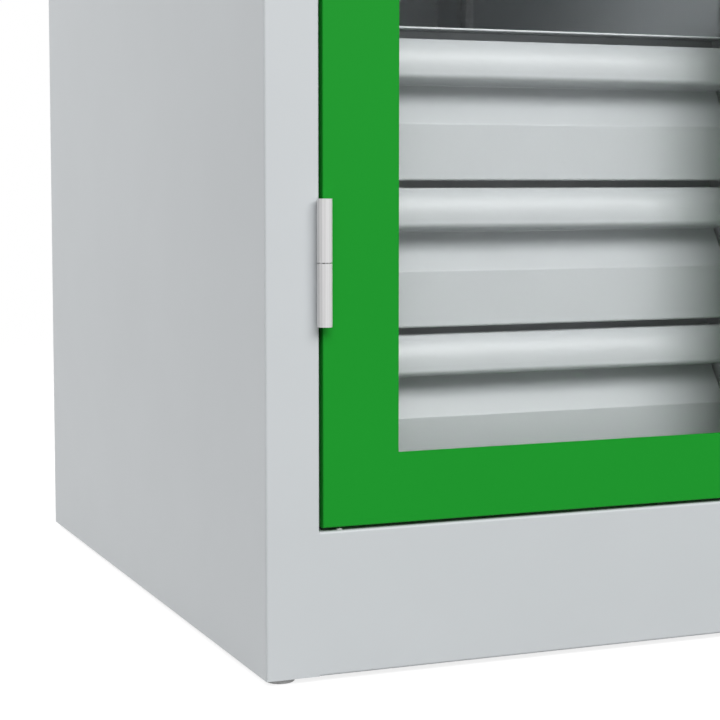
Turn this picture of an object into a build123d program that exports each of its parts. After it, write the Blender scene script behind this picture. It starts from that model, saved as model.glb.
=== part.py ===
from build123d import *
import os
from math import acos, cos, pi, radians, sin, tan

# Storage cabinet of folded sheet steel, in millimetres.
# Pieces are drawn with x from the left side, y back from the front plane and z up from the floor.

# Carcass
cabinet_width = 1000.0
cabinet_depth = 750.0
cabinet_height = 1200.0
body_sheet = 1.5
back_sheet = 1.25
inner_bend = 0.5
seam_gap = 0.6
foot_clearance = 5.1
sill_height = 122.5
sill_depth = 45.0
fold_depth = 20.0
column_face = 45.5
header_face = 45.0
rebate_depth = 26.0
stop_lip = 12.0
rear_flange = 20.0
floor_rise = 14.0
top_edge_radius = 1.4
wall_hole_radius = 4.5
wall_hole_spacing = 600.0
wall_hole_drop = 100.0

# Partition, shelves and their supports
post_width = 25.0
upright_width = 25.0
upright_depth = 10.0
upright_setback = 90.0
slot_pitch = 25.0
slot_width = 4.0
slot_height = 14.0
clip_width = 18.0
clip_height = 12.0
clip_reach = 10.0
clip_play = 0.5
shelf_sheet = 1.25
shelf_height = 30.0
shelf_setback = 60.0
shelf_gap = 1.0
left_shelf_slot = 25
right_shelf_slots = (11, 24)

# Levelling feet
foot_inset = 17.8
foot_setback = 19.2
pad_radius = 12.4
pad_height = 9.0
pad_edge_radius = 1.2
stud_radius = 5.0
stud_length = 46.0
stud_play = 0.05
socket_size = 50.0
socket_sheet = 3.0
socket_level = 28.0
bush_radius = 9.0
bush_length = 24.0
corner_cut = 3.0

# Doors
door_gap = 3.0
door_depth = 22.0
door_sheet = 1.25
door_edge_radius = 1.2
stile_face = 65.4
rail_face = 58.0
gasket_width = 9.5
gasket_inset = 0.5
gasket_thickness = 2.0
pane_thickness = 4.0
pane_overlap = 10.0
frame_setback = 6.0
frame_play = 0.3
post_radius = 4.0
post_end = 16.0
screw_radius = 2.0
screw_fit = 0.02
screw_tip = 6.0
head_radius = 4.0
head_height = 2.2
drive_radius = 1.6
drive_depth = 1.2
screw_rows = 4

# Barrel hinges
barrel_radius = 6.1
knuckle_length = 50.1
knuckle_gap = 0.8
hinge_stand = 7.4
hinge_shift = 0.2
hinge_inset = 212.5
pin_radius = 3.5
pin_fixed_fit = 0.02
pin_running_fit = 0.06
pin_cap = 4.0
collar_radius = 4.9
collar_play = 0.05
leaf_thickness = 1.4
leaf_depth = 18.0
leaf_inset = 2.0

# Lever handle and lock
plate_width = 36.0
plate_height = 150.0
plate_thickness = 8.0
plate_edge_radius = 2.0
hub_radius = 15.0
hub_gap = 0.4
lever_reach = 46.0
lever_thickness = 11.0
lever_length = 118.0
lever_root_radius = 12.0
lever_tip_radius = 9.0
lever_edge_radius = 2.5
spindle_radius = 5.0
spindle_fit = 0.02
spindle_play = 0.05
spindle_clear = 0.6
spindle_grip = 22.0
barrel_face = 1.0
key_radius = 7.0
key_play = 0.05
key_depth = 12.0
keyway_width = 1.8
keyway_height = 8.0
keyway_depth = 4.0
case_sheet = 1.5
case_end_gap = 11.0
case_depth = 16.0

# Rack and pinion of the lock
gear_module = 2.0
gear_teeth = 12
pressure_angle = radians(20.0)
pinion_addendum = 1.6
rack_addendum = 1.4
tooth_clearance = 0.6
gear_backlash = 0.8
flank_points = 5
rack_teeth_below = 5
rack_teeth_above = 2
rod_size = 6.0
rod_play = 0.5
rod_setback = 2.0
rod_tail = 4.0
rod_plane = 9.0

# Drawers
drawer_count = 3
drawer_pitch = 125.0
front_height = 118.7
first_front_bottom = 152.7
drawer_setback = 70.5
front_sheet = 1.25
front_bend = 0.8
panel_height = 47.9
recess_depth = 22.0
recess_height = 81.3
grip_reach = 11.0
grip_back = 12.5
lip_height = 85.5
lip_radius = 3.0
grip_radius = 33.8
grip_slope = radians(45.0)
front_depth = 25.0
front_flange = 14.0
front_side_gap = 4.5
insert_margin = 92.0
insert_sheet = 1.25
insert_foot = 9.0
insert_cover = 10.0
insert_end_gap = 14.0
insert_filler = 60.0
bar_height = 20.0
bar_thickness = 3.0
bar_setback = 10.0
bar_clear = 3.0
upright_clear = 3.0
tray_sheet = 1.0
tray_lift = 8.0
tray_height = 84.0
tray_length = 610.0

# Telescopic drawer slides
slide_thickness = 13.0
slide_height = 45.0
slide_length = 600.0
slide_sheet = 1.5
slide_play = 0.4
slide_lift = 28.0
slide_setback = 10.0

# Sill glides
glide_radius = 2.6
glide_height = 1.2
glide_setback = 6.5
glide_inset = 16.0

# Places that follow from the sizes
handle_reach = lever_reach + barrel_face
front_plane = (handle_reach - cabinet_depth) / 2
middle = cabinet_width / 2
top_under = cabinet_height - body_sheet
opening_top = cabinet_height - header_face
stop_back = rebate_depth + body_sheet
lip_edge = column_face + stop_lip + seam_gap
back_outer = cabinet_depth - body_sheet
back_inner = back_outer - back_sheet
floor_level = sill_height + floor_rise
partition_left = middle - post_width / 2
partition_right = middle + post_width / 2
lip_bottom = opening_top - stop_lip
door_left = column_face + door_gap
door_right = middle - door_gap / 2
door_bottom = sill_height + door_gap
door_top = opening_top - door_gap
window_left = door_left + stile_face
window_right = door_right - stile_face
window_bottom = door_bottom + rail_face
window_top = door_top - rail_face
pane_front = door_sheet + gasket_thickness
pane_back = pane_front + pane_thickness
hinge_x = column_face + door_gap / 2 + hinge_shift
hinge_y = -hinge_stand
hinge_levels = (door_bottom + hinge_inset, door_top - hinge_inset)
lock_x = door_right - stile_face / 2
lock_z = (door_bottom + door_top) / 2
pitch_radius = gear_module * gear_teeth / 2
tooth_pitch = pi * gear_module
rack_tip = pitch_radius - rack_addendum
rack_root = pitch_radius + pinion_addendum + tooth_clearance
rod_front = rod_plane - rod_size / 2
rod_back = rod_plane + rod_size / 2
insert_left = insert_margin
insert_right = partition_left - upright_depth - upright_clear
insert_top = first_front_bottom + (drawer_count - 1) * drawer_pitch + front_height + insert_cover
rail_left = insert_left + insert_sheet
rail_right = insert_right - insert_sheet
front_left = rail_left + front_side_gap
front_right = rail_right - front_side_gap
tray_front = drawer_setback + front_depth


def block(x0, x1, y0, y1, z0, z1):
    size = Box(x1 - x0, y1 - y0, z1 - z0, align=(Align.MIN, Align.MIN, Align.MIN))
    return Pos(x0, y0, z0) * size


def upright_drum(radius, x, y, z0, z1):
    drum = Cylinder(radius, z1 - z0, align=(Align.CENTER, Align.CENTER, Align.MIN))
    return Pos(x, y, z0) * drum


def level_drum(radius, x, z, y0, y1):
    drum = Cylinder(radius, y1 - y0, align=(Align.CENTER, Align.CENTER, Align.MIN))
    return Location((x, y0, z), (-90, 0, 0)) * drum


def left_normal(start, end):
    run = Vector(*end) - Vector(*start)
    return Vector(-run.Y, run.X) / run.length


# A folded sheet: its material lies to the left of the path, and each bend has an inner radius
def folded(plane, path, bends, thickness, length):
    normals = [left_normal(a, b) for a, b in zip(path, path[1:])]
    near_radii = []
    far_radii = []
    far_path = [Vector(*path[0]) + normals[0] * thickness]
    for corner, before, after, bend in zip(path[1:-1], normals, normals[1:], bends):
        mitre = (before + after) * (thickness / (1 + before.dot(after)))
        far_path.append(Vector(*corner) + mitre)
        turns_left = before.cross(after).Z > 0
        near_radii.append(bend + thickness if turns_left else bend)
        far_radii.append(bend if turns_left else bend + thickness)
    far_path.append(Vector(*path[-1]) + normals[-1] * thickness)
    near = FilletPolyline(*path, radius=near_radii)
    far = FilletPolyline(*far_path, radius=far_radii)
    ends = [Line(near @ 0, far @ 0), Line(near @ 1, far @ 1)]
    return extrude(plane * make_face([near, far] + ends), amount=length)


def mirrored(solid):
    return mirror(solid, about=Plane.YZ.offset(middle))


# Each file holds one node, moved to the middle of the cabinet's footprint
def save(name, *pieces):
    solids = [solid for piece in pieces for solid in piece.solids()]
    placed = Pos(-middle, front_plane, 0) * Compound(solids)
    export_step(placed, f"parts/{name}.step")


os.makedirs("parts", exist_ok=True)

# Side panels: side wall, front column, door rebate with stop lip, and rear flange
plain_path = [(rear_flange, cabinet_depth), (0, cabinet_depth), (0, 0), (column_face, 0)]
rebate_path = plain_path + [(column_face, rebate_depth), (column_face + stop_lip, rebate_depth)]
plain_bends = [inner_bend] * 2
rebate_bends = [inner_bend] * 4
side_panel = folded(
    Plane.XY.offset(foot_clearance), plain_path, plain_bends, body_sheet, sill_height - foot_clearance
)
side_panel += folded(
    Plane.XY.offset(sill_height), rebate_path, rebate_bends, body_sheet, opening_top - sill_height
)
side_panel += folded(
    Plane.XY.offset(opening_top), plain_path, plain_bends, body_sheet, top_under - opening_top
)
save("left_side_panel", side_panel)
save("right_side_panel", mirrored(side_panel))

# Back panel, in front of the rear flanges, with two holes for wall screws
back_panel = block(
    body_sheet + seam_gap, cabinet_width - body_sheet - seam_gap, back_inner, back_outer, foot_clearance, top_under
)
for offset_x in (-wall_hole_spacing / 2, wall_hole_spacing / 2):
    back_panel -= level_drum(
        wall_hole_radius, middle + offset_x, cabinet_height - wall_hole_drop, back_inner, back_outer
    )
save("back_panel", back_panel)

# Holes that the bolt rods of both doors pass through
rod_low = rack_root - rod_play
rod_high = rack_root + rod_size + rod_play


def rod_hole(side, z0, z1):
    edges = sorted((lock_x + side * rod_low, lock_x + side * rod_high))
    return block(edges[0], edges[1], rod_front - rod_play, rod_back + rod_play, z0, z1)


upper_hole = rod_hole(-1, door_top - stop_lip, opening_top + fold_depth)
lower_hole = rod_hole(1, sill_height - fold_depth, door_bottom + stop_lip)

# Top panel with the header, its stop lip and a rear fold
top_panel = block(0, cabinet_width, 0, cabinet_depth, top_under, cabinet_height)
top_panel = fillet(top_panel.edges().filter_by(Axis.Z), inner_bend + body_sheet)
top_panel = fillet(top_panel.faces().sort_by(Axis.Z)[-1].edges(), top_edge_radius)
header_path = [(0, top_under), (0, opening_top), (stop_back, opening_top)]
top_panel += folded(
    Plane.YZ.offset(column_face), header_path, [inner_bend], body_sheet, cabinet_width - 2 * column_face
)
top_panel += block(lip_edge, cabinet_width - lip_edge, rebate_depth, stop_back, lip_bottom, opening_top)
top_panel += block(
    rear_flange + seam_gap, cabinet_width - rear_flange - seam_gap, back_outer, cabinet_depth,
    cabinet_height - fold_depth, top_under
)
top_panel -= upper_hole + mirrored(upper_hole)
save("top_panel", top_panel)

# Floor panel: raised behind the doors, its front fold stands on the sill
floor_left = body_sheet + seam_gap
floor_right = cabinet_width - floor_left
floor_panel = block(
    floor_left, floor_right, stop_back + seam_gap, back_inner, floor_level - body_sheet, floor_level
)
floor_panel += block(
    lip_edge, cabinet_width - lip_edge, rebate_depth, stop_back + seam_gap, floor_level - body_sheet, floor_level
)
floor_panel += block(
    lip_edge, cabinet_width - lip_edge, rebate_depth, stop_back, sill_height, floor_level - body_sheet
)
for x0 in (floor_left, floor_right - body_sheet):
    floor_panel += block(
        x0, x0 + body_sheet, stop_back + seam_gap, back_inner, floor_level - fold_depth, floor_level - body_sheet
    )
floor_panel += block(
    floor_left, floor_right, back_inner - body_sheet, back_inner, floor_level - fold_depth, floor_level - body_sheet
)
save("floor_panel", floor_panel)

# Plinth with the door sill
plinth_path = [
    (sill_depth, sill_height - fold_depth), (sill_depth, sill_height), (0, sill_height),
    (0, foot_clearance), (fold_depth, foot_clearance)
]
plinth = folded(
    Plane.YZ.offset(column_face), plinth_path, [inner_bend] * 3, body_sheet, cabinet_width - 2 * column_face
)
plinth -= lower_hole + mirrored(lower_hole)
save("plinth", plinth)

# Centre partition: a post behind the meeting edges of the doors, with two walls back to the back panel
partition = folded(
    Plane.XY.offset(floor_level),
    [(partition_left, back_inner), (partition_left, rebate_depth), (partition_right, rebate_depth),
     (partition_right, back_inner)],
    [inner_bend] * 2, body_sheet, lip_bottom - floor_level
)
partition += folded(
    Plane.XY.offset(lip_bottom),
    [(partition_left, back_inner), (partition_left, stop_back + seam_gap),
     (partition_right, stop_back + seam_gap), (partition_right, back_inner)],
    [inner_bend] * 2, body_sheet, top_under - lip_bottom
)
save("partition", partition)

# Drawer insert: two walls and a cover over the drawers, with feet on the floor, front fillers and cross bars
insert_depth = back_inner - insert_end_gap - drawer_setback
insert_path = [
    (insert_right - insert_foot, floor_level), (insert_right, floor_level), (insert_right, insert_top),
    (insert_left, insert_top), (insert_left, floor_level), (insert_left + insert_foot, floor_level)
]
insert_plane = Plane((0, drawer_setback, 0), x_dir=(1, 0, 0), z_dir=(0, -1, 0))
drawer_insert = folded(insert_plane, insert_path, [inner_bend] * 4, insert_sheet, -insert_depth)
filler_back = drawer_setback + insert_sheet
drawer_insert += block(
    insert_left - insert_filler, insert_left + insert_sheet / 2, drawer_setback, filler_back, floor_level,
    insert_top - inner_bend - insert_sheet
)
drawer_insert += block(
    insert_right - insert_sheet / 2, partition_left - seam_gap, drawer_setback, filler_back, floor_level,
    insert_top - inner_bend - insert_sheet
)
bar_front = tray_front + bar_setback
bar_tops = [
    first_front_bottom + number * drawer_pitch + tray_lift - bar_clear for number in range(1, drawer_count)
]
bar_tops.append(insert_top - insert_sheet)
cross_bars = [
    block(rail_left, rail_right, bar_front, bar_front + bar_thickness, top - bar_height, top) for top in bar_tops
]
save("drawer_insert", drawer_insert, *cross_bars)

# Slotted shelf uprights, two on each wall of both compartments
upright_length = lip_bottom - floor_level
slot_count = int(upright_length / slot_pitch) - 1
upright_levels = (upright_setback, back_inner - upright_setback)
compartment_middle = (body_sheet + partition_left) / 2


def across(solid):
    return mirror(solid, about=Plane.YZ.offset(compartment_middle))


def upright(y):
    face_plane = Plane((body_sheet + upright_depth, y, floor_level), x_dir=(0, 1, 0), z_dir=(-1, 0, 0))
    strip = Pos(0, -upright_length / 2) * Rectangle(upright_width, upright_length)
    for slot in range(1, slot_count + 1):
        strip -= Pos(0, -slot * slot_pitch) * Rectangle(slot_width, slot_height)
    solid = extrude(face_plane * strip, amount=body_sheet)
    for y0 in (y - upright_width / 2, y + upright_width / 2 - body_sheet):
        solid += block(
            body_sheet, body_sheet + upright_depth, y0, y0 + body_sheet, floor_level, floor_level + upright_length
        )
    return solid


uprights = [upright(y) for y in upright_levels]
uprights += [across(solid) for solid in uprights]
save("shelf_uprights", *uprights, *[mirrored(solid) for solid in uprights])


# Shelves hang on clips, so each one sits at a slot of the uprights
def shelf_bottom(slot):
    return floor_level + slot * slot_pitch + clip_height / 2


def shelf(slot):
    x0 = body_sheet + upright_depth + shelf_gap
    x1 = partition_left - upright_depth - shelf_gap
    y1 = back_inner - shelf_gap
    z0 = shelf_bottom(slot)
    z1 = z0 + shelf_height
    tray = block(x0, x1, shelf_setback, y1, z0, z1)
    tray = fillet(tray.faces().sort_by(Axis.Z)[-1].edges(), inner_bend + shelf_sheet)
    tray -= block(
        x0 + shelf_sheet, x1 - shelf_sheet, shelf_setback + shelf_sheet, y1 - shelf_sheet, z0, z1 - shelf_sheet
    )
    return tray


# A clip has a tongue through its slot and a ledge under the shelf
def clips(slot):
    z0 = shelf_bottom(slot) - clip_height
    x0 = body_sheet + upright_depth
    tongue = slot_width - clip_play
    pieces = []
    for y in upright_levels:
        clip = block(x0, x0 + clip_reach, y - clip_width / 2, y + clip_width / 2, z0, z0 + clip_height)
        clip += block(x0 - 2 * body_sheet, x0, y - tongue / 2, y + tongue / 2, z0, z0 + clip_height)
        pieces += [clip, across(clip)]
    return pieces


save("left_shelf", shelf(left_shelf_slot))
save("right_lower_shelf", mirrored(shelf(right_shelf_slots[0])))
save("right_upper_shelf", mirrored(shelf(right_shelf_slots[1])))
right_clips = [clip for slot in right_shelf_slots for clip in clips(slot)]
save("shelf_clips", *clips(left_shelf_slot), *[mirrored(clip) for clip in right_clips])


# Foot sockets: a corner plate with a threaded bush, and the feet that turn in them
def foot_places():
    rear = back_inner - foot_setback
    return {
        "front_left": (foot_inset, foot_setback, 1),
        "front_right": (cabinet_width - foot_inset, foot_setback, -1),
        "rear_left": (foot_inset, rear, 1),
        "rear_right": (cabinet_width - foot_inset, rear, -1),
    }


def foot_socket(x, y, inward):
    front = y < cabinet_depth / 2
    wall = body_sheet if inward > 0 else cabinet_width - body_sheet
    far = wall + inward * socket_size
    y0 = body_sheet if front else back_inner - socket_size
    z1 = socket_level + socket_sheet
    plate = block(min(wall, far), max(wall, far), y0, y0 + socket_size, socket_level, z1)
    plate = chamfer(plate.edges().filter_by(Axis.Z), corner_cut)
    bore = upright_drum(stud_radius + stud_play, x, y, socket_level - bush_length, z1 + bush_length)
    return plate + upright_drum(bush_radius, x, y, z1 - bush_length / 2, z1 + bush_length / 2) - bore


def foot(x, y):
    pad = upright_drum(pad_radius, x, y, 0, pad_height)
    pad = fillet(pad.edges().filter_by(GeomType.CIRCLE), pad_edge_radius)
    return pad + upright_drum(stud_radius, x, y, pad_height / 2, pad_height + stud_length)


save("foot_sockets", *[foot_socket(*place) for place in foot_places().values()])
for corner, (foot_x, foot_y, inward) in foot_places().items():
    save(f"{corner}_foot", foot(foot_x, foot_y))


# Lift-off barrel hinges: knuckle below on the column, knuckle above on the door, pin between
def knuckle(z0, z1, bore_from, bore_to, fit, leaf_x):
    solid = upright_drum(barrel_radius, hinge_x, hinge_y, z0, z1)
    solid += block(leaf_x, leaf_x + leaf_thickness, hinge_y, leaf_depth, z0 + leaf_inset, z1 - leaf_inset)
    return solid - upright_drum(pin_radius + fit, hinge_x, hinge_y, bore_from, bore_to)


frame_knuckles = []
door_knuckles = []
hinge_pins = []
for level in hinge_levels:
    low = level - knuckle_gap / 2
    high = level + knuckle_gap / 2
    bottom = low - knuckle_length
    top = high + knuckle_length
    frame_knuckles.append(knuckle(bottom, low, bottom + pin_cap, low, pin_fixed_fit, column_face))
    door_knuckles.append(knuckle(high, top, high, top - pin_cap, pin_running_fit, door_left - leaf_thickness))
    pin = upright_drum(pin_radius, hinge_x, hinge_y, bottom + pin_cap, top - pin_cap - collar_play)
    pin += upright_drum(collar_radius, hinge_x, hinge_y, low, high - collar_play)
    hinge_pins.append(pin)
save("frame_knuckles", *frame_knuckles, *[mirrored(solid) for solid in frame_knuckles])
save("hinge_pins", *hinge_pins, *[mirrored(solid) for solid in hinge_pins])


# Glides on the sill under both ends of each door, the inner one beside the lower bolt
glides = []
for glide_x in (door_left + glide_inset, lock_x):
    glides.append(upright_drum(glide_radius, glide_x, glide_setback, sill_height, sill_height + glide_height))
save("sill_glides", *glides, *[mirrored(solid) for solid in glides])


# Screw places on both stiles of a door, clear of the window and of the lock
def screw_places():
    span = door_top - door_bottom - rail_face
    places = []
    for x in (door_left + stile_face / 3, lock_x):
        for row in range(screw_rows):
            places.append((x, door_bottom + rail_face / 2 + span * row / (screw_rows - 1)))
    return places


# Door skin: a pan with a window, screw posts inside, and holes for spindle and rods
skin = block(door_left, door_right, 0, door_depth, door_bottom, door_top)
skin = fillet(skin.faces().sort_by(Axis.Y)[0].edges(), door_edge_radius)
skin -= block(
    door_left + door_sheet, door_right - door_sheet, door_sheet, door_depth,
    door_bottom + door_sheet, door_top - door_sheet
)
skin -= block(window_left, window_right, 0, door_sheet, window_bottom, window_top)
for x, z in screw_places():
    skin += level_drum(post_radius, x, z, door_sheet / 2, post_end)
    skin -= level_drum(screw_radius + screw_fit, x, z, screw_tip, post_end)
skin -= level_drum(spindle_radius + spindle_clear, lock_x, lock_z, 0, door_sheet)
skin -= upper_hole + lower_hole

# Inner frame: a channel ring that clamps the pane and closes the back of the door
frame_left = door_left + door_sheet + frame_play
frame_right = door_right - door_sheet - frame_play
frame_bottom = door_bottom + door_sheet + frame_play
frame_top = door_top - door_sheet - frame_play
inner_frame = block(frame_left, frame_right, pane_back, door_depth, frame_bottom, frame_top)
aperture_left = window_left - frame_setback
aperture_right = window_right + frame_setback
aperture_bottom = window_bottom - frame_setback
aperture_top = window_top + frame_setback
channel = block(
    frame_left + door_sheet, frame_right - door_sheet, pane_back, door_depth - door_sheet,
    frame_bottom + door_sheet, frame_top - door_sheet
)
channel -= block(
    aperture_left - door_sheet, aperture_right + door_sheet, pane_back, door_depth,
    aperture_bottom - door_sheet, aperture_top + door_sheet
)
inner_frame -= channel
inner_frame -= block(aperture_left, aperture_right, pane_back, door_depth, aperture_bottom, aperture_top)
for x, z in screw_places():
    inner_frame -= level_drum(screw_radius + screw_fit, x, z, post_end, door_depth)
inner_frame -= upper_hole + lower_hole

# Gasket ring and window pane
gasket = block(
    window_left - gasket_width, window_right + gasket_width, door_sheet, pane_front,
    window_bottom - gasket_width, window_top + gasket_width
)
gasket -= block(
    window_left - gasket_inset, window_right + gasket_inset, door_sheet, pane_front,
    window_bottom - gasket_inset, window_top + gasket_inset
)
pane = block(
    window_left - pane_overlap, window_right + pane_overlap, pane_front, pane_back,
    window_bottom - pane_overlap, window_top + pane_overlap
)

# Screws that hold the inner frame on the posts
screws = []
for x, z in screw_places():
    head_back = door_depth + head_height
    screw = level_drum(head_radius, x, z, door_depth, head_back)
    screw += level_drum(screw_radius, x, z, screw_tip + 2 * screw_radius, door_depth)
    drive_plane = Plane((x, head_back, z), x_dir=(1, 0, 0), z_dir=(0, -1, 0))
    screw -= extrude(drive_plane * RegularPolygon(drive_radius, 6), amount=drive_depth)
    screws.append(screw)

# Lock case on the back of the skin, with bearings for the spindle and ways for the rods
case_half = rack_root + rod_size + rod_play
case_end = (rack_teeth_below + 0.5) * tooth_pitch + case_end_gap
case_back = door_sheet + case_depth
lock_case = block(
    lock_x - case_half - case_sheet, lock_x + case_half + case_sheet, door_sheet, case_back,
    lock_z - case_end, lock_z + case_end
)
lock_case -= block(
    lock_x - case_half, lock_x + case_half, door_sheet + case_sheet, case_back - case_sheet,
    lock_z - case_end + case_sheet, lock_z + case_end - case_sheet
)
lock_case -= level_drum(spindle_radius + spindle_play, lock_x, lock_z, door_sheet, case_back)
lock_case -= rod_hole(-1, lock_z + case_end - case_sheet, lock_z + case_end)
lock_case -= rod_hole(1, lock_z - case_end, lock_z - case_end + case_sheet)

# Handle plate on the front of the stile
plate_plane = Plane((lock_x, 0, lock_z), x_dir=(1, 0, 0), z_dir=(0, -1, 0))
plate_outline = RectangleRounded(plate_width, plate_height, plate_width / 2 - plate_edge_radius / 2)
handle_plate = extrude(plate_plane * plate_outline, amount=plate_thickness)
handle_plate = fillet(handle_plate.faces().sort_by(Axis.Y)[0].edges(), plate_edge_radius)
handle_plate -= level_drum(spindle_radius + spindle_clear, lock_x, lock_z, -plate_thickness, 0)

# Lever: hub and arm, hanging down at rest, bored for the spindle and the key barrel
hub_back = -plate_thickness - hub_gap
arm_plane = Plane((lock_x, lever_thickness - lever_reach, lock_z), x_dir=(1, 0, 0), z_dir=(0, -1, 0))
arm_ends = Circle(lever_root_radius) + Pos(0, -lever_length) * Circle(lever_tip_radius)
lever = extrude(arm_plane * make_hull(arm_ends.edges()), amount=lever_thickness)
lever += level_drum(hub_radius, lock_x, lock_z, -lever_reach, hub_back)
lever = fillet(lever.faces().sort_by(Axis.Y)[0].edges(), lever_edge_radius)
lever -= level_drum(key_radius + key_play, lock_x, lock_z, -lever_reach, key_depth - lever_reach)
lever -= level_drum(spindle_radius + spindle_fit, lock_x, lock_z, hub_back - spindle_grip, hub_back)

# Key barrel in the hub, with its keyway
key_front = -lever_reach - barrel_face
key_barrel = level_drum(key_radius, lock_x, lock_z, key_front, key_depth - lever_reach)
key_barrel -= block(
    lock_x - keyway_width / 2, lock_x + keyway_width / 2, key_front, key_front + keyway_depth,
    lock_z - keyway_height / 2, lock_z + keyway_height / 2
)


# Pinion outline, with involute flanks
def involute(angle):
    return tan(angle) - angle


def pinion_outline():
    base = pitch_radius * cos(pressure_angle)
    tip = pitch_radius + pinion_addendum
    root = pitch_radius - rack_addendum - tooth_clearance
    half_tooth = pi / (2 * gear_teeth) + involute(pressure_angle)
    flank = [(root, half_tooth)]
    for step in range(flank_points):
        radius = base + (tip - base) * step / (flank_points - 1)
        flank.append((radius, half_tooth - involute(acos(base / radius))))
    points = []
    for tooth in range(gear_teeth):
        centre = 2 * pi * tooth / gear_teeth
        points += [(r * cos(centre - a), r * sin(centre - a)) for r, a in flank]
        points += [(r * cos(centre + a), r * sin(centre + a)) for r, a in reversed(flank)]
    return make_face(Polyline(*points, close=True))


# Spindle from the lever through the case, with the pinion on it
spindle = level_drum(spindle_radius, lock_x, lock_z, hub_back - spindle_grip, case_back)
pinion_plane = Plane((lock_x, rod_back, lock_z), x_dir=(1, 0, 0), z_dir=(0, -1, 0))
spindle += extrude(pinion_plane * pinion_outline(), amount=rod_size)


# Upper bolt rod: a square bar with rack teeth towards the pinion
def rack_outline():
    points = [(-rack_root, -(rack_teeth_below + 0.5) * tooth_pitch - rod_tail)]
    for tooth in range(-rack_teeth_below, rack_teeth_above):
        centre = (tooth + 0.5) * tooth_pitch
        half = (tooth_pitch / 2 - gear_backlash) / 2
        at_tip = half - rack_addendum * tan(pressure_angle)
        at_root = half + (rack_root - pitch_radius) * tan(pressure_angle)
        points += [(-rack_root, centre - at_root), (-rack_tip, centre - at_tip)]
        points += [(-rack_tip, centre + at_tip), (-rack_root, centre + at_root)]
    points.append((-rack_root, door_top - rod_setback - lock_z))
    points.append((-rack_root - rod_size, door_top - rod_setback - lock_z))
    points.append((-rack_root - rod_size, points[0][1]))
    return make_face(Polyline(*points, close=True))


upper_rod = extrude(pinion_plane * rack_outline(), amount=rod_size)
lower_rod = upper_rod.rotate(Axis((lock_x, 0, lock_z), (0, 1, 0)), 180)

# Both doors: the right one is the left one mirrored
door_nodes = {
    "door_skin": [skin],
    "door_inner_frame": [inner_frame],
    "door_gasket": [gasket],
    "door_pane": [pane],
    "door_screws": screws,
    "door_knuckles": door_knuckles,
    "lock_case": [lock_case],
    "handle_plate": [handle_plate],
    "handle_lever": [lever],
    "handle_spindle": [spindle],
    "key_barrel": [key_barrel],
    "upper_rod": [upper_rod],
    "lower_rod": [lower_rod],
}
for name, pieces in door_nodes.items():
    save(f"left_{name}", *pieces)
    save(f"right_{name}", *[mirrored(piece) for piece in pieces])


# Drawer front: one folded sheet with panel, finger recess, grip rail and flanges to the tray
def drawer_front(z0):
    grip_corner = front_height - grip_reach * tan(grip_slope)
    path = [
        (grip_back, front_height - front_flange), (grip_back, front_height), (0, front_height),
        (-grip_reach, grip_corner), (-grip_reach, lip_height), (recess_depth, recess_height),
        (0, panel_height), (0, 0), (front_depth, 0), (front_depth, front_flange)
    ]
    bends = [
        front_bend, front_bend, grip_radius, lip_radius, front_bend, front_bend, front_bend, front_bend
    ]
    plane = Plane((front_left, drawer_setback, z0), x_dir=(0, 1, 0), z_dir=(1, 0, 0))
    front = folded(plane, path, bends, front_sheet, front_right - front_left)
    for x0 in (front_left, front_right - front_sheet):
        front += block(
            x0, x0 + front_sheet, drawer_setback + front_sheet / 2, tray_front, z0 + front_sheet / 2,
            z0 + panel_height - front_sheet
        )
    return front


# Tray: an open box behind the front
def drawer_tray(z0):
    low = z0 + tray_lift
    x0 = rail_left + slide_thickness
    x1 = rail_right - slide_thickness
    tray = block(x0, x1, tray_front, tray_front + tray_length, low, low + tray_height)
    return tray - block(
        x0 + tray_sheet, x1 - tray_sheet, tray_front + tray_sheet, tray_front + tray_length - tray_sheet,
        low + tray_sheet, low + tray_height
    )


# One channel of a slide: web at the wall side or at the tray side, nested with play
def slide_channel(web, tips, height, z0):
    low = z0 + slide_lift + (slide_height - height) / 2
    y0 = tray_front + slide_setback
    x0 = rail_left + min(web, tips)
    x1 = rail_left + max(web, tips)
    channel = block(x0, x1, y0, y0 + slide_length, low, low + height)
    inner_x0 = x0 + slide_sheet if web < tips else x0
    inner_x1 = x1 if web < tips else x1 - slide_sheet
    return channel - block(
        inner_x0, inner_x1, y0, y0 + slide_length, low + slide_sheet, low + height - slide_sheet
    )


def slide_pair(web, tips, height, z0):
    channel = slide_channel(web, tips, height, z0)
    return [channel, mirror(channel, about=Plane.YZ.offset((rail_left + rail_right) / 2))]


nest_step = slide_sheet + slide_play
middle_height = slide_height - 2 * nest_step
inner_height = middle_height - 2 * nest_step
outer_rails = []
for number in range(drawer_count):
    front_bottom = first_front_bottom + number * drawer_pitch
    label = f"drawer_{number + 1}"
    outer_rails += slide_pair(0, slide_thickness - nest_step, slide_height, front_bottom)
    save(f"{label}_front", drawer_front(front_bottom))
    save(f"{label}_tray", drawer_tray(front_bottom))
    save(f"{label}_middle_rails", *slide_pair(nest_step, slide_thickness - slide_play, middle_height, front_bottom))
    save(f"{label}_inner_rails", *slide_pair(slide_thickness, 2 * nest_step, inner_height, front_bottom))
save("drawer_rails", *outer_rails)
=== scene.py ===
import math

import bmesh
import bpy
from mathutils import Matrix, Vector


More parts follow.
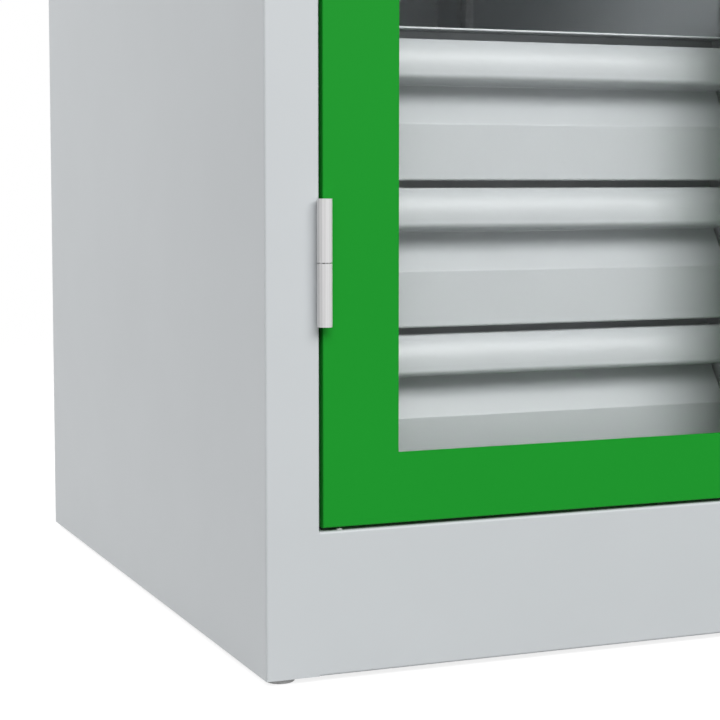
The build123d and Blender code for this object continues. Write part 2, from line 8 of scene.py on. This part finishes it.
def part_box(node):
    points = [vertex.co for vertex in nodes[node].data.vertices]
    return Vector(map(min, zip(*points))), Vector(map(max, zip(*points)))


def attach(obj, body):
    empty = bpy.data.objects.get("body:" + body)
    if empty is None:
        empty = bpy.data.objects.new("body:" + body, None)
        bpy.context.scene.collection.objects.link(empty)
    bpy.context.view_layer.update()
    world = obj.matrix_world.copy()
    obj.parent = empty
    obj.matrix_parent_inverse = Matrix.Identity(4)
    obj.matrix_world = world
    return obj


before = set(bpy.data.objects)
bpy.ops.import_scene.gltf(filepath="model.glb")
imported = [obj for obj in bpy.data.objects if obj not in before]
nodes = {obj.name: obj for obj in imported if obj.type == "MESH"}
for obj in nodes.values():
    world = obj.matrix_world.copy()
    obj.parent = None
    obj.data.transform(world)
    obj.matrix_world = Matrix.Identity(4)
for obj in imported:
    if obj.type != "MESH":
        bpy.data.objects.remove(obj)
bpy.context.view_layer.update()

# Carcass: side panels, top, back, floor, plinth, centre partition and drawer insert, each folded
# from steel sheet and welded. The finish is a light grey powder coat baked on after welding, which
# dries with a fine peel in its surface and faint clouds in its shade.
carcass_grey = (0.612, 0.640, 0.658, 1)
carcass_roughness = 0.46
coat_relief = 0.00003
coat_cloud = {"size": 1 / 7, "detail": 3}
coat_cloud_shade = (0.985, 1.015)
coat_peel = {"size": 1 / 1400, "detail": 1}
coat_peel_gloss = (-0.04, 0.04)
noise_middle = (0.3, 0.7)


def noise(tree, size, detail, stretch=(1, 1, 1)):
    """Gives a noise of a feature size in metres, fixed to the piece."""
    place = tree.nodes.new("ShaderNodeTexCoord")
    mapping = tree.nodes.new("ShaderNodeMapping")
    mapping.inputs["Scale"].default_value = stretch
    texture = tree.nodes.new("ShaderNodeTexNoise")
    texture.inputs["Scale"].default_value = 1 / size
    texture.inputs["Detail"].default_value = detail
    tree.links.new(place.outputs["Object"], mapping.inputs["Vector"])
    tree.links.new(mapping.outputs["Vector"], texture.inputs["Vector"])
    return texture.outputs["Fac"]


def spread(tree, value, levels):
    """Spreads the middle of a noise over a range of levels."""
    ramp = tree.nodes.new("ShaderNodeMapRange")
    ramp.inputs["From Min"].default_value = noise_middle[0]
    ramp.inputs["From Max"].default_value = noise_middle[1]
    ramp.inputs["To Min"].default_value = levels[0]
    ramp.inputs["To Max"].default_value = levels[1]
    tree.links.new(value, ramp.inputs["Value"])
    return ramp.outputs["Result"]


def finish_group(name, cloud, cloud_shade, grain, grain_gloss):
    """Makes a finish whose shade follows a cloud noise, and whose gloss and relief follow a grain."""
    group = bpy.data.node_groups.new(name, "ShaderNodeTree")
    sockets = (("Color", "NodeSocketColor"), ("Roughness", "NodeSocketFloat"), ("Height", "NodeSocketFloat"))
    for label, kind in sockets[:2]:
        group.interface.new_socket(label, in_out="INPUT", socket_type=kind)
    for label, kind in sockets:
        group.interface.new_socket(label, in_out="OUTPUT", socket_type=kind)
    given = group.nodes.new("NodeGroupInput")
    made = group.nodes.new("NodeGroupOutput")
    tint = group.nodes.new("ShaderNodeHueSaturation")
    gloss = group.nodes.new("ShaderNodeMath")
    gloss.operation = "ADD"
    relief = noise(group, **grain)
    group.links.new(given.outputs["Color"], tint.inputs["Color"])
    group.links.new(spread(group, noise(group, **cloud), cloud_shade), tint.inputs["Value"])
    group.links.new(given.outputs["Roughness"], gloss.inputs[0])
    group.links.new(spread(group, relief, grain_gloss), gloss.inputs[1])
    group.links.new(tint.outputs["Color"], made.inputs["Color"])
    group.links.new(gloss.outputs["Value"], made.inputs["Roughness"])
    group.links.new(relief, made.inputs["Height"])
    return group


def finish_material(name, group, colour, roughness, relief, metallic=0.0, specular=0.5):
    """Makes a material from a finish, with its relief in metres."""
    material = bpy.data.materials.new(name)
    material.use_nodes = True
    tree = material.node_tree
    shader = tree.nodes["Principled BSDF"]
    shader.inputs["Metallic"].default_value = metallic
    shader.inputs["Specular IOR Level"].default_value = specular
    finish = tree.nodes.new("ShaderNodeGroup")
    finish.node_tree = group
    finish.inputs["Color"].default_value = colour
    finish.inputs["Roughness"].default_value = roughness
    bump = tree.nodes.new("ShaderNodeBump")
    bump.inputs["Strength"].default_value = 1
    bump.inputs["Distance"].default_value = relief
    tree.links.new(finish.outputs["Color"], shader.inputs["Base Color"])
    tree.links.new(finish.outputs["Roughness"], shader.inputs["Roughness"])
    tree.links.new(finish.outputs["Height"], bump.inputs["Height"])
    tree.links.new(bump.outputs["Normal"], shader.inputs["Normal"])
    return material


def finish_nodes(material, *names):
    """Gives a material to solids that the frame already holds."""
    for name in names:
        for place in nodes[name].material_slots:
            place.material = material


powder_coat = finish_group("powder_coat", coat_cloud, coat_cloud_shade, coat_peel, coat_peel_gloss)
grey_coat = finish_material("grey_powder_coat", powder_coat, carcass_grey, carcass_roughness, coat_relief)
finish_nodes(
    grey_coat, "left_side_panel", "right_side_panel", "back_panel", "top_panel", "floor_panel",
    "plinth", "partition", "drawer_insert",
)

# Back beads: long shallow ribs pressed outwards into the thin back sheet, in two columns, to keep
# it from drumming. They are part of the sheet and take the same coat.
bead_width = 0.026
bead_reach = 0.17
bead_columns = (-0.24, 0.24)
bead_levels = (0.15, 0.33, 0.51, 0.69, 0.87, 1.03)
bead_sides = 24
bead_sink = 0.0004
bead_rises = ((0.002, 0.0003), (0.003, 0.0005), (0.003, 0.0003))


def fitted_piece(name, shape, material, body):
    """Makes a piece from a finished shape and fixes it to a body."""
    bmesh.ops.recalc_face_normals(shape, faces=shape.faces)
    mesh = bpy.data.meshes.new(name)
    shape.to_mesh(mesh)
    shape.free()
    mesh.materials.append(material)
    piece = bpy.data.objects.new(name, mesh)
    bpy.context.scene.collection.objects.link(piece)
    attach(piece, body)


bead_shape = bmesh.new()
bead_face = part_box("back_panel")[1][1]
facing_back = Matrix.Rotation(-math.pi / 2, 4, "X")
half_a_side = Matrix.Rotation(math.pi / bead_sides, 4, "Z")
for bead_x in bead_columns:
    for bead_z in bead_levels:
        place = Matrix.Translation((bead_x, bead_face - bead_sink, bead_z))
        rim = bmesh.ops.create_circle(
            bead_shape, cap_ends=True, radius=bead_width / 2, segments=bead_sides,
            matrix=place @ facing_back @ half_a_side,
        )["verts"]
        for corner in rim:
            corner.co.x += bead_reach if corner.co.x > bead_x else -bead_reach
        base = [face for face in bead_shape.faces if face.verts[0] in rim]
        raised = bmesh.ops.extrude_face_region(bead_shape, geom=base, use_keep_orig=True)["geom"]
        top = [part for part in raised if isinstance(part, bmesh.types.BMFace)]
        bmesh.ops.translate(bead_shape, verts=top[0].verts, vec=(0, bead_sink, 0))
        for step, rise in bead_rises:
            bmesh.ops.inset_region(bead_shape, faces=top, thickness=step)
            bmesh.ops.translate(bead_shape, verts=top[0].verts, vec=(0, rise, 0))
fitted_piece("back_beads", bead_shape, grey_coat, "carcass")

# Shelf gear: slotted uprights on the walls and clips with a tongue for the slots, of bright
# zinc-plated steel, and three shelves that rest on the clips, folded and coated like the carcass.
zinc_colour = (0.60, 0.61, 0.62, 1)
zinc_roughness = 0.34
zinc_relief = 0.00001
zinc_spangle = {"size": 1 / 260, "detail": 1}
zinc_spangle_shade = (0.93, 1.05)
zinc_streak = {"size": 1 / 90, "detail": 4, "stretch": (1, 0.05, 0.05)}
zinc_streak_gloss = (-0.08, 0.1)
zinc_plate = finish_group("zinc_plate", zinc_spangle, zinc_spangle_shade, zinc_streak, zinc_streak_gloss)
zinc = finish_material(
    "zinc_plated_steel", zinc_plate, zinc_colour, zinc_roughness, zinc_relief, metallic=1.0
)
finish_nodes(zinc, "shelf_uprights", "shelf_clips")
finish_nodes(grey_coat, "left_shelf", "right_lower_shelf", "right_upper_shelf")

# Levelling feet: round pads of light, smooth moulded plastic on threaded studs, which turn in
# steel sockets that are welded into the carcass corners.
foot_colour = (0.90, 0.90, 0.89, 1)
foot_roughness = 0.2
foot_relief = 0.00001
foot_gloss = 1.0
mould_cloud = {"size": 1 / 30, "detail": 2}
mould_cloud_shade = (0.96, 1.04)
mould_grain = {"size": 1 / 1100, "detail": 2}
mould_grain_gloss = (-0.05, 0.05)
moulded = finish_group("moulded_plastic", mould_cloud, mould_cloud_shade, mould_grain, mould_grain_gloss)
light_plastic = finish_material(
    "light_moulded_plastic", moulded, foot_colour, foot_roughness, foot_relief, specular=foot_gloss
)
finish_nodes(light_plastic, "front_left_foot", "front_right_foot", "rear_left_foot", "rear_right_foot")
finish_nodes(zinc, "foot_sockets")

# Hinges: two lift-off barrel hinges on each door, steel knuckles welded to the column and to the door
# skin, in a thin light grey coat whose fine upright lines vary its gloss and relief and are painted
# lighter and darker as shade of a faceted barrel. They turn on steel pins with a bearing collar,
# whose dark colour and darker spots are painted shade of the narrow gap at the joint.
hinge_grey = (0.74, 0.735, 0.74, 1)
hinge_roughness = 0.4
hinge_relief = 0.00002
# The lines' shade range is painted shade for the facets of a barrel; their gloss range and relief are the
# coat's own.
shade_and_relief_line = {"size": 1 / 600, "detail": 1, "stretch": (1, 1, 0.004)}
painted_facet_shade = (0.87, 1.13)
relief_line_gloss = (-0.04, 0.04)
# The pins' dark colour and the spots on them are painted shade of the narrow gap at the joint.
pin_colour_with_gap_shade = (0.28, 0.28, 0.28, 1)
pin_roughness = 0.5
pin_relief = 0.00001
gap_shade_spot = {"size": 1 / 450, "detail": 1}
gap_shade_spot_levels = (0.0, 1.8)
facet_shaded_coat = finish_group("facet_shaded_coat", shade_and_relief_line, painted_facet_shade, shade_and_relief_line, relief_line_gloss)
hinge_coat = finish_material("hinge_coat", facet_shaded_coat, hinge_grey, hinge_roughness, hinge_relief)
gap_shaded_finish = finish_group("gap_shaded_steel", gap_shade_spot, gap_shade_spot_levels, zinc_streak, zinc_streak_gloss)
pin_steel = finish_material("pin_steel_with_painted_gap_shade", gap_shaded_finish, pin_colour_with_gap_shade, pin_roughness, pin_relief, metallic=1.0)
finish_nodes(hinge_coat, "frame_knuckles", "left_door_knuckles", "right_door_knuckles")
finish_nodes(pin_steel, "hinge_pins")

# Sill glides: small round buttons of white nylon set on the sill, two under each door, which carry
# the closed doors and keep their lower edges off the paint.
glide_white = (0.80, 0.80, 0.78, 1)
glide_roughness = 0.35
glide_relief = 0.00001
white_nylon = finish_material("white_nylon", moulded, glide_white, glide_roughness, glide_relief)
finish_nodes(white_nylon, "sill_glides")

# Doors: a folded skin with a window opening and a folded inner frame screwed behind it, both
# coated bright green, which clamp a rubber gasket and a clear acrylic pane. The thin pane hardly
# bends what is seen through it, and its polished faces mirror a little.
door_green = (0.0067, 0.302, 0.020, 1)
door_roughness = 0.46
door_gloss = 0.15
rubber_black = (0.02, 0.02, 0.021, 1)
rubber_roughness = 0.7
rubber_relief = 0.00004
pane_tint = (0.95, 0.98, 0.97, 1)
pane_cover = 0.16
pane_bend = 1.01
pane_mirror = 1.49
pane_smear = {"size": 1 / 6, "detail": 3}
pane_smear_roughness = (0.015, 0.06)
green_coat = finish_material(
    "green_powder_coat", powder_coat, door_green, door_roughness, coat_relief, specular=door_gloss
)
rubber = finish_material("black_rubber", moulded, rubber_black, rubber_roughness, rubber_relief)
pane = bpy.data.materials.new("clear_acrylic")
pane.use_nodes = True
pane_tree = pane.node_tree
pane_shader = pane_tree.nodes["Principled BSDF"]
pane_shader.inputs["Base Color"].default_value = pane_tint
pane_shader.inputs["IOR"].default_value = pane_bend
pane_shader.inputs["Coat Weight"].default_value = 1
pane_shader.inputs["Coat IOR"].default_value = pane_mirror
pane_shader.inputs["Transmission Weight"].default_value = 1
pane_shader.inputs["Alpha"].default_value = pane_cover
pane_polish = spread(pane_tree, noise(pane_tree, **pane_smear), pane_smear_roughness)
pane_tree.links.new(pane_polish, pane_shader.inputs["Roughness"])
for side in ("left", "right"):
    finish_nodes(green_coat, side + "_door_skin", side + "_door_inner_frame")
    finish_nodes(rubber, side + "_door_gasket")
    finish_nodes(pane, side + "_door_pane")
    finish_nodes(zinc, side + "_door_screws")

# Door buffers: soft black rubber buttons pushed into the middle post, two behind the free edge of
# each door, which take up the rattle when the doors shut.
buffer_profile = (
    (0, 0.0004), (0.0046, 0.0004), (0.0046, -0.0016), (0.0040, -0.0028), (0.0024, -0.0034), (0, -0.0036),
)
buffer_levels = (0.235, 1.045)
buffer_x = 0.008
turning_steps = 32
weld_reach = 0.000001


def turned_ring(shape, profile, place, closed=False):
    """Spins a profile of (radius, y) points about the Y axis through a place."""
    points = [shape.verts.new(place + Vector((radius, y, 0))) for radius, y in profile]
    pairs = list(zip(points, points[1:]))
    if closed:
        pairs.append((points[-1], points[0]))
    edges = [shape.edges.new(pair) for pair in pairs]
    bmesh.ops.spin(
        shape, geom=points + edges, cent=place, axis=(0, 1, 0), angle=math.tau,
        steps=turning_steps, use_merge=True,
    )
    bmesh.ops.remove_doubles(shape, verts=shape.verts, dist=weld_reach)


post_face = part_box("partition")[0][1]
buffer_shape = bmesh.new()
for level in buffer_levels:
    for buffer_place in (-buffer_x, buffer_x):
        turned_ring(buffer_shape, buffer_profile, Vector((buffer_place, post_face, level)))
fitted_piece("door_buffers", buffer_shape, rubber, "carcass")

# Locks: on each door a plated lock case behind the skin, with a spindle and pinion that drive the
# upper and lower bolt rods, worked by a black moulded lever handle with a bright plated key barrel.
lever_black = (0.022, 0.022, 0.023, 1)
lever_roughness = 0.42
lever_relief = 0.00004
bright_colour = (0.72, 0.72, 0.71, 1)
bright_roughness = 0.22
bright_relief = 0.000005
black_plastic = finish_material("black_moulded_plastic", moulded, lever_black, lever_roughness, lever_relief)
bright_steel = finish_material(
    "bright_steel", zinc_plate, bright_colour, bright_roughness, bright_relief, metallic=1.0
)
for side in ("left", "right"):
    finish_nodes(zinc, side + "_lock_case", side + "_handle_spindle")
    finish_nodes(zinc, side + "_upper_rod", side + "_lower_rod")
    finish_nodes(black_plastic, side + "_handle_plate", side + "_handle_lever")
    finish_nodes(bright_steel, side + "_key_barrel")

# Lock rings: a thin turned ring of bright plated steel round each key barrel, pressed a little way
# into the face of the lever, which keeps the key from scratching the plastic.
ring_profile = (
    (0.0072, 0.0002), (0.0098, 0.0002), (0.0098, -0.0003), (0.0092, -0.0007), (0.0078, -0.0007),
    (0.0072, -0.0003),
)
for side in ("left", "right"):
    low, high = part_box(side + "_key_barrel")
    lever_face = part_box(side + "_handle_lever")[0][1]
    ring_place = Vector(((low[0] + high[0]) / 2, lever_face, (low[2] + high[2]) / 2))
    ring_shape = bmesh.new()
    turned_ring(ring_shape, ring_profile, ring_place, closed=True)
    fitted_piece(side + "_lock_ring", ring_shape, bright_steel, side + "_handle")

# Drawers: fronts with a rolled grip over a finger recess and trays, folded from sheet in the carcass's
# grey coat, darkened as painted shade for the dimmer light behind the door panes, and glossier, on
# telescopic slides of bright zinc-plated steel.
# This factor darkens the carcass grey into painted shade for the dimmer light behind the panes.
drawer_painted_shade = 0.77
drawer_shaded_grey = tuple(drawer_painted_shade * level for level in carcass_grey[:3]) + carcass_grey[3:]
drawer_roughness = 0.38
drawer_gloss = 0.75
drawer_shaded_coat = finish_material(
    "drawer_powder_coat_with_painted_shade", powder_coat, drawer_shaded_grey, drawer_roughness, coat_relief, specular=drawer_gloss
)
for number in ("1", "2", "3"):
    finish_nodes(drawer_shaded_coat, f"drawer_{number}_front", f"drawer_{number}_tray")
    finish_nodes(zinc, f"drawer_{number}_inner_rails", f"drawer_{number}_middle_rails")
finish_nodes(zinc, "drawer_rails")

# Floor: a pale studio floor that fades into the white surround. It shows white to the camera and in
# reflections, throws little light back up, and keeps the cabinet's soft shadow.
floor_reach = 3.2
floor_fade = (1.0, 3.0)
floor_colour = (0.35, 0.35, 0.35, 1)
floor_roughness = 0.9
floor_glow = 0.82
pure_white = (1, 1, 1, 1)
floor_mesh = bpy.data.meshes.new("studio_floor")
floor_shape = bmesh.new()
bmesh.ops.create_grid(floor_shape, x_segments=1, y_segments=1, size=floor_reach)
floor_shape.to_mesh(floor_mesh)
floor_shape.free()
floor = bpy.data.objects.new("studio_floor", floor_mesh)
bpy.context.scene.collection.objects.link(floor)
floor_paint = bpy.data.materials.new("studio_floor_paint")
floor_paint.use_nodes = True
floor_tree = floor_paint.node_tree
floor_shader = floor_tree.nodes["Principled BSDF"]
floor_shader.inputs["Base Color"].default_value = floor_colour
floor_shader.inputs["Roughness"].default_value = floor_roughness
floor_shader.inputs["Specular IOR Level"].default_value = 0.0
floor_shader.inputs["Emission Color"].default_value = pure_white


def seen_directly(tree):
    """Gives 1 on rays that show a surface itself, mirrored or through the pane, and 0 on others."""
    path = tree.nodes.new("ShaderNodeLightPath")
    seen = path.outputs["Is Camera Ray"]
    for ray in ("Is Glossy Ray", "Is Transmission Ray"):
        either = tree.nodes.new("ShaderNodeMath")
        either.operation = "MAXIMUM"
        tree.links.new(seen, either.inputs[0])
        tree.links.new(path.outputs[ray], either.inputs[1])
        seen = either.outputs["Value"]
    return seen


glow = floor_tree.nodes.new("ShaderNodeMath")
glow.operation = "MULTIPLY"
glow.inputs[1].default_value = floor_glow
floor_tree.links.new(seen_directly(floor_tree), glow.inputs[0])
floor_tree.links.new(glow.outputs["Value"], floor_shader.inputs["Emission Strength"])
where = floor_tree.nodes.new("ShaderNodeTexCoord")
distance = floor_tree.nodes.new("ShaderNodeVectorMath")
distance.operation = "LENGTH"
fade = floor_tree.nodes.new("ShaderNodeMapRange")
fade.interpolation_type = "SMOOTHSTEP"
fade.inputs["From Min"].default_value = floor_fade[0]
fade.inputs["From Max"].default_value = floor_fade[1]
fade.inputs["To Min"].default_value = 1.0
fade.inputs["To Max"].default_value = 0.0
floor_tree.links.new(where.outputs["Object"], distance.inputs[0])
floor_tree.links.new(distance.outputs["Value"], fade.inputs["Value"])
floor_tree.links.new(fade.outputs["Result"], floor_shader.inputs["Alpha"])
floor_mesh.materials.append(floor_paint)

# Light: an even surround that shows white, a wide soft lamp high in front, and a weaker one high
# on the left towards the back, which lights the cabinet's left side and isn't mirrored in it.
surround_level = 0.275
lamp_aim = (-0.2, -0.3, 0.4)
key_place = (0.05, -5.02, 4.09)
key_size = (8.0, 3.4)
key_power = 360
fill_place = (-3.2, 2.2, 2.8)
fill_size = (2.4, 2.4)
fill_power = 99
surround = bpy.data.worlds.new("studio_surround")
bpy.context.scene.world = surround
surround.use_nodes = True
surround_tree = surround.node_tree
dim = surround_tree.nodes["Background"]
dim.inputs["Color"].default_value = pure_white
dim.inputs["Strength"].default_value = surround_level
white = surround_tree.nodes.new("ShaderNodeBackground")
white.inputs["Color"].default_value = pure_white
choice = surround_tree.nodes.new("ShaderNodeMixShader")
surround_tree.links.new(seen_directly(surround_tree), choice.inputs["Fac"])
surround_tree.links.new(dim.outputs["Background"], choice.inputs[1])
surround_tree.links.new(white.outputs["Background"], choice.inputs[2])
surround_tree.links.new(choice.outputs["Shader"], surround_tree.nodes["World Output"].inputs["Surface"])


def soft_lamp(name, place, size, power):
    """Hangs a soft oval lamp that points at the cabinet."""
    lamp = bpy.data.lights.new(name, "AREA")
    lamp.shape = "ELLIPSE"
    lamp.size = size[0]
    lamp.size_y = size[1]
    lamp.energy = power
    holder = bpy.data.objects.new(name, lamp)
    holder.location = place
    holder.rotation_euler = (Vector(place) - Vector(lamp_aim)).to_track_quat("Z", "Y").to_euler()
    bpy.context.scene.collection.objects.link(holder)
    return holder


soft_lamp("key_lamp", key_place, key_size, key_power)
soft_lamp("fill_lamp", fill_place, fill_size, fill_power).visible_glossy = False

# Camera: low in front of the left corner and tilted a little down, as the photograph was taken. A
# long lens and a small shift frame the cabinet's lower left part.
camera_place = (-0.97217, -1.71144, 0.40289)
camera_tilt = 4.682
camera_swing = -22.104
lens_length = 92.178
lens_shift = -0.04
sensor_width = 36
lens = bpy.data.cameras.new("photo_camera")
lens.sensor_width = sensor_width
lens.lens = lens_length
lens.shift_y = lens_shift
camera = bpy.data.objects.new("photo_camera", lens)
camera.location = camera_place
camera.rotation_euler = (math.radians(90 - camera_tilt), 0, math.radians(camera_swing))
bpy.context.scene.collection.objects.link(camera)
bpy.context.scene.camera = camera
bpy.context.scene.view_settings.view_transform = "Standard"
